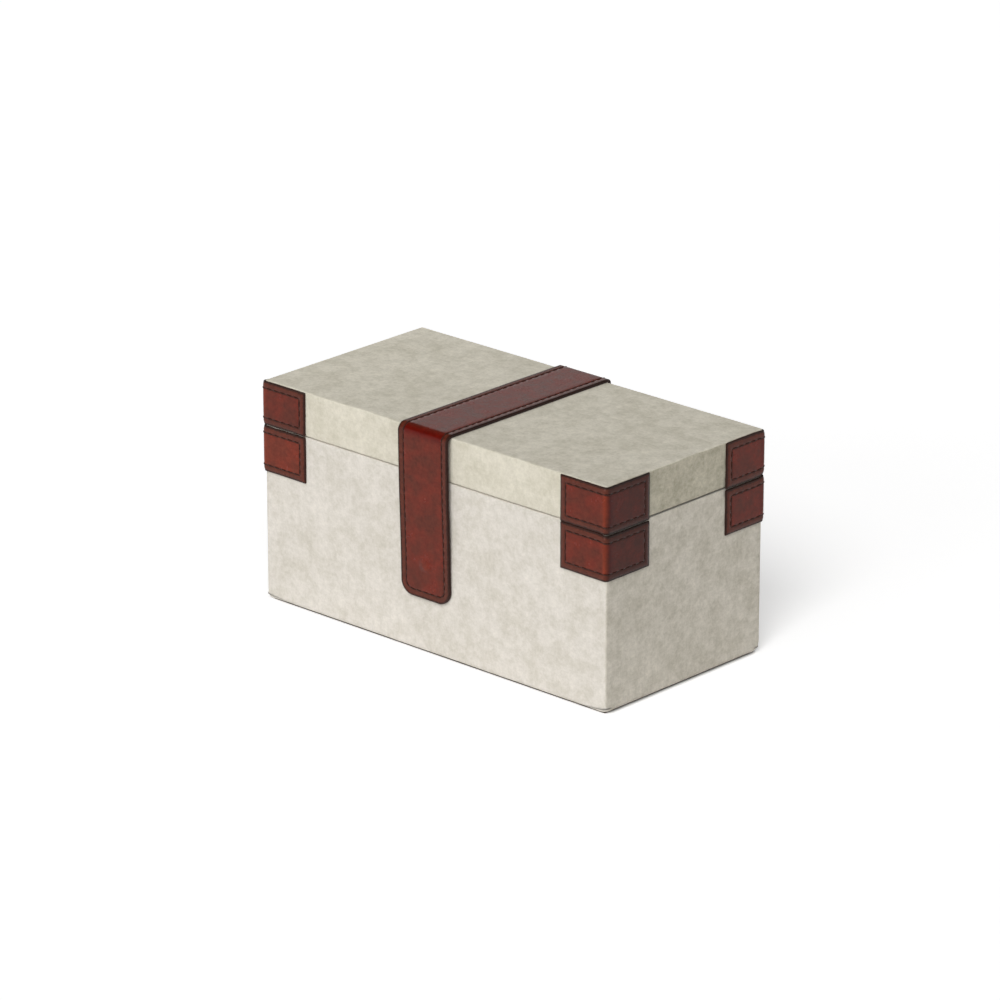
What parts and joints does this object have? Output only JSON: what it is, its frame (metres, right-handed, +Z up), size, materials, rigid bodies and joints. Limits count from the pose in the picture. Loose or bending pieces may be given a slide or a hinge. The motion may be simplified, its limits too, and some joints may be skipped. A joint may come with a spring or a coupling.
{
  "type": "canvas box",
  "caption": "Canvas-covered keepsake box with a hinged lid, stitched leather corners and a leather strap that closes over the front.",
  "frame": {"origin": "centre of the flat underside, at the level of the surface it stands on", "axes": "+X to the right along the long front, -Y out of the front where the strap hangs, +Z up"},
  "size_m": [0.3034, 0.1571, 0.1553],
  "materials": {
    "fibreboard": "raw",
    "canvas": "matt weave",
    "lining_cotton": "plain cotton over card",
    "felt": "felt",
    "red_brown_leather": "glazed",
    "leather_backing": "suede side",
    "brass": "satin",
    "steel": "nickel plated"
  },
  "bodies": {
    "base": {"base_front_board": "fibreboard", "base_back_board": "fibreboard", "base_left_board": "fibreboard", "base_right_board": "fibreboard", "base_bottom_board": "fibreboard", "base_lining_floor": "lining_cotton", "base_lining_front": "lining_cotton", "base_lining_back": "lining_cotton", "base_lining_left": "lining_cotton", "base_lining_right": "lining_cotton", "base_canvas_cover": "canvas", "underside_felt": "felt", "base_corner_front_left": "red_brown_leather", "base_corner_front_right": "red_brown_leather", "base_corner_back_left": "red_brown_leather", "base_corner_back_right": "red_brown_leather", "base_keeper": "steel", "hinge_left_base_leaf": "brass", "hinge_left_pin": "steel", "hinge_left_base_screw_left": "brass", "hinge_left_base_screw_right": "brass", "hinge_right_base_leaf": "brass", "hinge_right_pin": "steel", "hinge_right_base_screw_left": "brass", "hinge_right_base_screw_right": "brass"},
    "lid": {"lid_top_board": "fibreboard", "lid_front_rail": "fibreboard", "lid_back_rail": "fibreboard", "lid_left_rail": "fibreboard", "lid_right_rail": "fibreboard", "lid_lining_top": "lining_cotton", "lid_lining_front": "lining_cotton", "lid_lining_back": "lining_cotton", "lid_lining_left": "lining_cotton", "lid_lining_right": "lining_cotton", "lid_canvas_cover": "canvas", "lid_corner_front_left": "red_brown_leather", "lid_corner_front_right": "red_brown_leather", "lid_corner_back_left": "red_brown_leather", "lid_corner_back_right": "red_brown_leather", "strap_over_lid": "red_brown_leather", "strap_lid_backing": "leather_backing", "hinge_left_lid_leaf": "brass", "hinge_left_lid_screw_left": "brass", "hinge_left_lid_screw_right": "brass", "hinge_right_lid_leaf": "brass", "hinge_right_lid_screw_left": "brass", "hinge_right_lid_screw_right": "brass"},
    "strap_flap": {"strap_flap": "red_brown_leather", "strap_flap_backing": "leather_backing", "strap_magnet": "steel"}
  },
  "joints": [
    {"name": "lid_hinge", "type": "hinge", "parent": "base", "child": "lid", "pos_m": [0, 0.0757, 0.1224], "axis": [-1, 0, 0], "range_deg": [0, 110]},
    {"name": "strap_flap_hinge", "type": "hinge", "parent": "lid", "child": "strap_flap", "pos_m": [-0.0034, -0.0794, 0.1466], "axis": [-1, 0, 0], "range_deg": [0, 110]}
  ]
}
